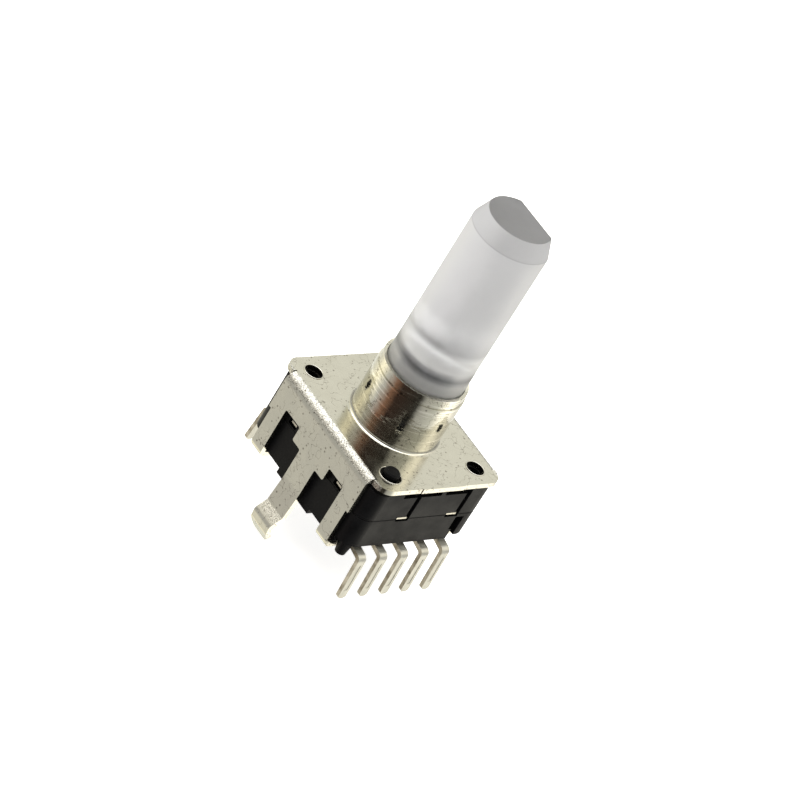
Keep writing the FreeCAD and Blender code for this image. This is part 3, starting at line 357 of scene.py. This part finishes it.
def sheet_spring(name, dark, light):
    """Rolled spring strip, streaked along the rolling direction."""
    surface = Surface(name, Metallic=1.0)
    streaks = surface.noise(9, detail=3, stretch=(0.15, 1, 1))
    surface.set("Base Color", surface.mix(streaks, dark, light))
    surface.set("Roughness", surface.remap(streaks, 0.3, 0.7, 0.18, 0.32))
    surface.set("Normal", surface.bump(streaks, 0.003))
    return surface.owner


def clear_resin(name, tint):
    """Clear cast resin with faint ripples."""
    surface = Surface(name, IOR=1.5, Transmission_Weight=1.0)
    ripple = surface.noise(1.2, detail=1)
    surface.set("Base Color", surface.mix(ripple, tint, colour(0.97, 0.98, 0.98)))
    surface.set("Roughness", surface.remap(ripple, 0.3, 0.7, 0.03, 0.09))
    surface.set("Normal", surface.bump(ripple, 0.006))
    return surface.owner


def lit_chip(name, dark, light):
    """A light-emitting die: polished crystal with a brighter pad."""
    surface = Surface(name, Specular_IOR_Level=0.7)
    cloud = surface.noise(12, detail=2)
    surface.set("Base Color", surface.mix(cloud, dark, light))
    surface.set("Roughness", surface.remap(cloud, 0.3, 0.7, 0.15, 0.3))
    surface.set("Normal", surface.bump(cloud, 0.002))
    return surface.owner


def make_finishes():
    """Every material of the part, by the name of its slot in the record."""
    return {
        "cover_plate": plated_cover(),
        "housing": moulded_black(),
        "tie_metal": sheared_metal(),
        "terminal_plate": tinned_terminal(),
        "light_pipe": frosted_light_pipe(),
        "washer": plain_moulding(
            "washer_plastic", colour(0.6, 0.55, 0.42), colour(0.7, 0.65, 0.5), roughness=0.5),
        "rotor": plain_moulding(
            "rotor_plastic", colour(0.015, 0.015, 0.017), colour(0.03, 0.03, 0.032), roughness=0.4),
        "plunger": plain_moulding(
            "plunger_plastic", colour(0.7, 0.69, 0.63), colour(0.8, 0.79, 0.74), roughness=0.45),
        "spring_metal": sheet_spring("spring_steel", colour(0.42, 0.42, 0.42), colour(0.6, 0.6, 0.61)),
        "contact_metal": sheet_spring("contact_bronze", colour(0.62, 0.42, 0.2), colour(0.8, 0.6, 0.34)),
        "lens": clear_resin("lens_resin", colour(0.9, 0.93, 0.95)),
        "die_red": lit_chip("die_red_crystal", colour(0.4, 0.03, 0.02), colour(0.65, 0.08, 0.05)),
        "die_green": lit_chip("die_green_crystal", colour(0.05, 0.35, 0.08), colour(0.12, 0.55, 0.16)),
    }


def dress_nodes():
    """Give each CAD node the material of its slot in the record."""
    finishes = make_finishes()
    for part in frame["record"]["subparts"]:
        materials = nodes[part["node"]].data.materials
        materials.clear()
        materials.append(finishes[part["material_slot"]])


# ---------------------------------------------------------------- stage, light and camera

# Half the floor's width, in metres.
FLOOR_HALF = 1.5


def lay_floor(height):
    """A wide pale floor at the object's lowest point."""
    mesh = bpy.data.meshes.new("floor")
    signs = [(-1, -1), (1, -1), (1, 1), (-1, 1)]
    corners = [(FLOOR_HALF * x, FLOOR_HALF * y, height) for x, y in signs]
    mesh.from_pydata(corners, [], [(0, 1, 2, 3)])
    floor = bpy.data.objects.new("floor", mesh)
    bpy.context.scene.collection.objects.link(floor)
    floor.visible_glossy = False
    surface = Surface("floor_paper", Roughness=0.9, Specular_IOR_Level=0.0, Emission_Strength=0.8)
    paper = surface.mix(surface.noise(0.02), colour(0.8, 0.8, 0.8), colour(0.83, 0.83, 0.83))
    surface.set("Base Color", paper)
    surface.set("Emission Color", colour(1, 1, 1))
    mesh.materials.append(surface.owner)


# Brightness and tint of the studio around the object, by compass direction in degrees.
STUDIO_RING = [
    (0, (1.1, 1.06, 0.95)),
    (54, (1.0, 1.0, 0.9)),
    (84, (1.05, 1.02, 0.85)),
    (114, (1.7, 1.6, 1.25)),
    (144, (0.72, 0.71, 0.66)),
    (172, (0.3, 0.16, 0.1)),
    (192, (0.05, 0.03, 0.022)),
    (243, (0.04, 0.038, 0.032)),
    (256, (0.5, 0.49, 0.45)),
    (294, (0.8, 0.8, 0.72)),
    (324, (2.2, 2.1, 1.85)),
    (360, (1.1, 1.06, 0.95)),
]

# The light near the horizon, and the steepness at which it begins and is full.
HORIZON = colour(0.6, 0.59, 0.55)
HORIZON_FADE = (0.4, 0.28)

# The softbox's light, the way to its middle, and where its edge fades, as a cosine.
SOFTBOX = colour(3.0, 3.0, 3.0)
SOFTBOX_LEAN = (0.0, 0.16, 1.0)
SOFTBOX_EDGE = (0.78, 0.88)


def light_studio():
    """A white softbox overhead, and lit and dark screens around it and below."""
    world = bpy.data.worlds.new("studio")
    bpy.context.scene.world = world
    graph = Graph(world)
    direction = graph.node("TexCoord").outputs["Generated"]
    way = graph.node("SeparateXYZ", {"Vector": direction})
    bearing = graph.calculate("ARCTAN2", way.outputs["Y"], way.outputs["X"])
    turns = graph.calculate("DIVIDE", bearing, 2 * math.pi)
    turns = graph.calculate("FRACT", graph.calculate("ADD", turns, 1.0))
    ring = graph.ramp(turns, [(degrees / 360, colour(*tint)) for degrees, tint in STUDIO_RING])
    steepness = graph.calculate("ABSOLUTE", way.outputs["Z"])
    ring = graph.mix(graph.remap(steepness, *HORIZON_FADE), ring, HORIZON)
    leaning = graph.node("VectorMath", {0: direction, 1: SOFTBOX_LEAN}, operation="DOT_PRODUCT")
    above = graph.remap(leaning.outputs["Value"], *SOFTBOX_EDGE)
    background = graph.tree.nodes["Background"]
    graph.feed(background.inputs["Color"], graph.mix(above, ring, SOFTBOX))
    graph.feed(background.inputs["Strength"], 1.0)


# The camera's lens and sensor in millimetres, its place in millimetres and its turns in degrees.
FOCAL_LENGTH = 188.59
SENSOR_WIDTH = 36
CAMERA_PLACE = (-200.185, -144.334, 161.204)
CAMERA_TURNS = (53.808, -26.9554, -35.7609)


def place_camera():
    """The photograph's view: a long lens from the front left, rolled to the right."""
    lens = bpy.data.cameras.new("camera")
    lens.lens = FOCAL_LENGTH
    lens.sensor_width = SENSOR_WIDTH
    lens.clip_start = 0.01
    lens.clip_end = 10
    camera = bpy.data.objects.new("camera", lens)
    camera.location = Vector(CAMERA_PLACE) * MM
    camera.rotation_euler = Euler([math.radians(turn) for turn in CAMERA_TURNS])
    bpy.context.scene.collection.objects.link(camera)
    bpy.context.scene.camera = camera


dress_nodes()
lay_floor(cad_box[0].z)
light_studio()
place_camera()
bpy.context.scene.view_settings.view_transform = "Standard"

bpy.context.view_layer.update()
